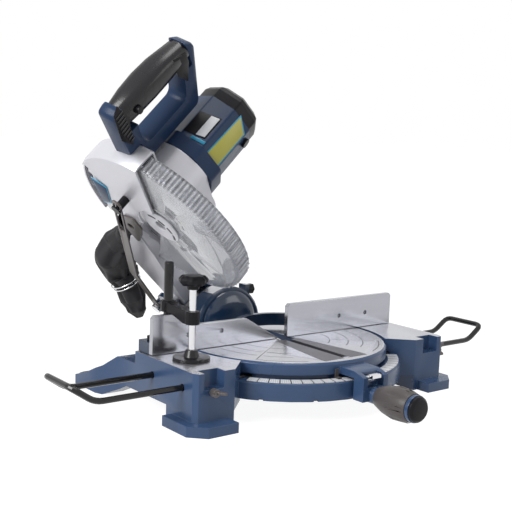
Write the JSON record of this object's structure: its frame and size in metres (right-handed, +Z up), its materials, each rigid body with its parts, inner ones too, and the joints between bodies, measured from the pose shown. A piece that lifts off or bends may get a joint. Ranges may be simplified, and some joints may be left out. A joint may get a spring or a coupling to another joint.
{
  "type": "compound mitre saw",
  "caption": "Bench mitre saw: round turntable with barrel lock handle, split fence, screw clamp, side support bars, tilting chop head with D-handle, clear blade guard and dust bag.",
  "frame": {"origin": "centre of the bounding box's footprint, on the bench", "axes": "+Z up, +X to the user's right along the fence, +Y away from the user"},
  "size_m": [0.8056, 0.6264, 0.5334],
  "materials": {
    "blue_paint": "satin navy enamel on cast aluminium",
    "dark_blue": "satin dark blue plastic",
    "cast_aluminium": "as-cast, light grey",
    "machined_aluminium": "machined",
    "steel": "bright",
    "blade_steel": "ground",
    "black_plastic": "fine grain",
    "black_rubber": "moulded",
    "black_bar": "gloss black",
    "clear_guard": "clear, lightly smoked",
    "grey_insert": "satin",
    "bag_fabric": "coarse black cloth",
    "handle_grey": "soft grey-brown",
    "grey_paint": "satin grey-brown",
    "copper_winding": "lacquered copper",
    "scale_white": "matt"
  },
  "bodies": {
    "base": {"base_casting": "blue_paint", "pivot_bolt": "steel", "mitre_scale": "scale_white", "rear_support_bar": "black_bar", "fence": "machined_aluminium", "fence_bolt_left": "black_bar", "fence_bolt_right": "black_bar", "clamp_post": "black_bar"},
    "clamp_arm": {"clamp_arm": "black_bar"},
    "clamp_screw": {"clamp_screw": "steel", "clamp_pad": "black_rubber"},
    "clamp_knob": {"clamp_knob": "black_plastic"},
    "extension_bar_left": {"extension_bar_left": "black_bar"},
    "extension_bar_right": {"extension_bar_right": "black_bar"},
    "wing_bolt_left": {"wing_bolt_left": "handle_grey"},
    "wing_bolt_right": {"wing_bolt_right": "handle_grey"},
    "turntable": {"turntable": "machined_aluminium", "kerf_insert_left": "grey_insert", "kerf_insert_right": "grey_insert", "mitre_pointer": "steel", "bevel_shaft": "steel"},
    "mitre_handle": {"mitre_handle": "handle_grey", "mitre_handle_ring": "dark_blue", "mitre_handle_cap": "black_plastic", "mitre_lock_rod": "steel"},
    "mitre_latch": {"mitre_latch": "steel"},
    "bevel_lock_knob": {"bevel_lock_knob": "black_plastic"},
    "bevel_stop_bolt": {"bevel_stop_bolt": "black_bar"},
    "bevel_arm": {"bevel_arm": "blue_paint", "chop_pivot_pin": "steel", "return_spring": "steel", "link_pin": "steel"},
    "head_lock_pin": {"head_lock_pin": "black_plastic"},
    "guard_link": {"guard_link": "grey_paint"},
    "head": {"upper_guard": "cast_aluminium", "gear_housing": "cast_aluminium", "motor_housing": "dark_blue", "motor_cap": "black_plastic", "brush_cap_front": "black_plastic", "brush_cap_rear": "black_plastic", "handle_frame": "dark_blue", "handle_grip": "black_rubber", "stator": "copper_winding", "motor_bearing": "steel", "dust_chute": "black_plastic", "dust_bag": "bag_fabric", "link_stud": "grey_paint", "guard_stay": "grey_paint"},
    "trigger": {"trigger": "black_plastic"},
    "lock_off_button": {"lock_off_button": "black_plastic"},
    "spindle_lock_button": {"spindle_lock_button": "black_plastic"},
    "lower_guard": {"lower_guard": "clear_guard", "guard_hub_plate": "grey_paint"},
    "spindle": {"spindle": "steel", "drive_gear": "steel", "saw_blade": "blade_steel", "inner_flange": "steel", "outer_flange": "steel", "arbor_bolt": "steel"},
    "armature": {"armature": "copper_winding"}
  },
  "joints": [
    {"name": "mitre_swing", "type": "hinge", "parent": "base", "child": "turntable", "pos_m": [0.0135, -0.0147, 0.0832], "axis": [0, 0, 1], "range_deg": [-45, 30]},
    {"name": "bevel_tilt", "type": "hinge", "parent": "turntable", "child": "bevel_arm", "pos_m": [0.0135, -0.0147, 0.0832], "axis": [0, 1, 0], "range_deg": [0, 45]},
    {"name": "chop", "type": "hinge", "parent": "bevel_arm", "child": "head", "pos_m": [-0.03953, 0.2003, 0.13623], "axis": [0.7071, 0, 0.7071], "range_deg": [0, 40]},
    {"name": "guard_link_swing", "type": "hinge", "parent": "bevel_arm", "child": "guard_link", "pos_m": [-0.02843, 0.2436, 0.12513], "axis": [0.7071, 0, 0.7071], "range_deg": [0, 36]},
    {"name": "lower_guard_swing", "type": "hinge", "parent": "head", "child": "lower_guard", "pos_m": [-0.17954, 0.0293, 0.27624], "axis": [0.7071, 0, 0.7071], "range_deg": [-145, 0]},
    {"name": "blade_spin", "type": "hinge", "parent": "head", "child": "spindle", "pos_m": [-0.17954, 0.0293, 0.27624], "axis": [0.7071, 0, 0.7071], "continuous": true},
    {"name": "armature_spin", "type": "hinge", "parent": "head", "child": "armature", "pos_m": [-0.21207, 0.0093, 0.30877], "axis": [0.7071, 0, 0.7071], "continuous": true},
    {"name": "trigger_pull", "type": "hinge", "parent": "head", "child": "trigger", "pos_m": [-0.24447, -0.03567, 0.46774], "axis": [-0.3428, 0.8746, 0.3428], "range_deg": [0, 8], "stiffness_Nm_per_rad": 0.3},
    {"name": "lock_off_press", "type": "slide", "parent": "head", "child": "lock_off_button", "axis": [-0.3428, 0.8746, 0.3428], "range_m": [0, 0.003], "stiffness_N_per_m": 300},
    {"name": "spindle_lock_press", "type": "slide", "parent": "head", "child": "spindle_lock_button", "axis": [-0.332, 0.8829, 0.332], "range_m": [0, 0.005], "stiffness_N_per_m": 300},
    {"name": "head_lock_pull", "type": "slide", "parent": "bevel_arm", "child": "head_lock_pin", "axis": [0.7071, 0, 0.7071], "range_m": [-0.005, 0.004]},
    {"name": "clamp_height", "type": "slide", "parent": "base", "child": "clamp_arm", "axis": [0, 0, 1], "range_m": [0, 0.025]},
    {"name": "clamp_screw_travel", "type": "slide", "parent": "clamp_arm", "child": "clamp_screw", "axis": [0, 0, 1], "range_m": [0, 0.03]},
    {"name": "clamp_knob_turn", "type": "hinge", "parent": "clamp_screw", "child": "clamp_knob", "pos_m": [-0.1895, -0.0582, 0.196], "axis": [0, 0, 1], "continuous": true},
    {"name": "extension_left_slide", "type": "slide", "parent": "base", "child": "extension_bar_left", "axis": [-1, 0, 0], "range_m": [-0.06, 0.05]},
    {"name": "extension_right_slide", "type": "slide", "parent": "base", "child": "extension_bar_right", "axis": [1, 0, 0], "range_m": [-0.035, 0.075]},
    {"name": "wing_bolt_left_turn", "type": "hinge", "parent": "base", "child": "wing_bolt_left", "pos_m": [-0.205, -0.1343, 0.056], "axis": [0, 1, 0], "continuous": true},
    {"name": "wing_bolt_right_turn", "type": "hinge", "parent": "base", "child": "wing_bolt_right", "pos_m": [0.2595, -0.1187, 0.056], "axis": [1, 0, 0], "continuous": true},
    {"name": "mitre_handle_turn", "type": "hinge", "parent": "turntable", "child": "mitre_handle", "pos_m": [0.0135, -0.265, 0.0415], "axis": [0, -1, 0], "range_deg": [-180, 360]},
    {"name": "mitre_latch_press", "type": "hinge", "parent": "turntable", "child": "mitre_latch", "pos_m": [0.0135, -0.2197, 0.06817], "axis": [1, 0, 0], "range_deg": [-12, 0], "stiffness_Nm_per_rad": 0.05},
    {"name": "bevel_lock_turn", "type": "hinge", "parent": "turntable", "child": "bevel_lock_knob", "pos_m": [0.0135, 0.2773, 0.0832], "axis": [0, 1, 0], "range_deg": [-90, 90]},
    {"name": "bevel_stop_turn", "type": "hinge", "parent": "turntable", "child": "bevel_stop_bolt", "pos_m": [0.0595, 0.1433, 0.1347], "axis": [1, 0, 0], "continuous": true}
  ],
  "couplings": [
    {"joint": "guard_link_swing", "follows": "chop", "ratio": 0.87},
    {"joint": "lower_guard_swing", "follows": "chop", "ratio": -3.5},
    {"joint": "armature_spin", "follows": "blade_spin", "ratio": -3.5}
  ]
}
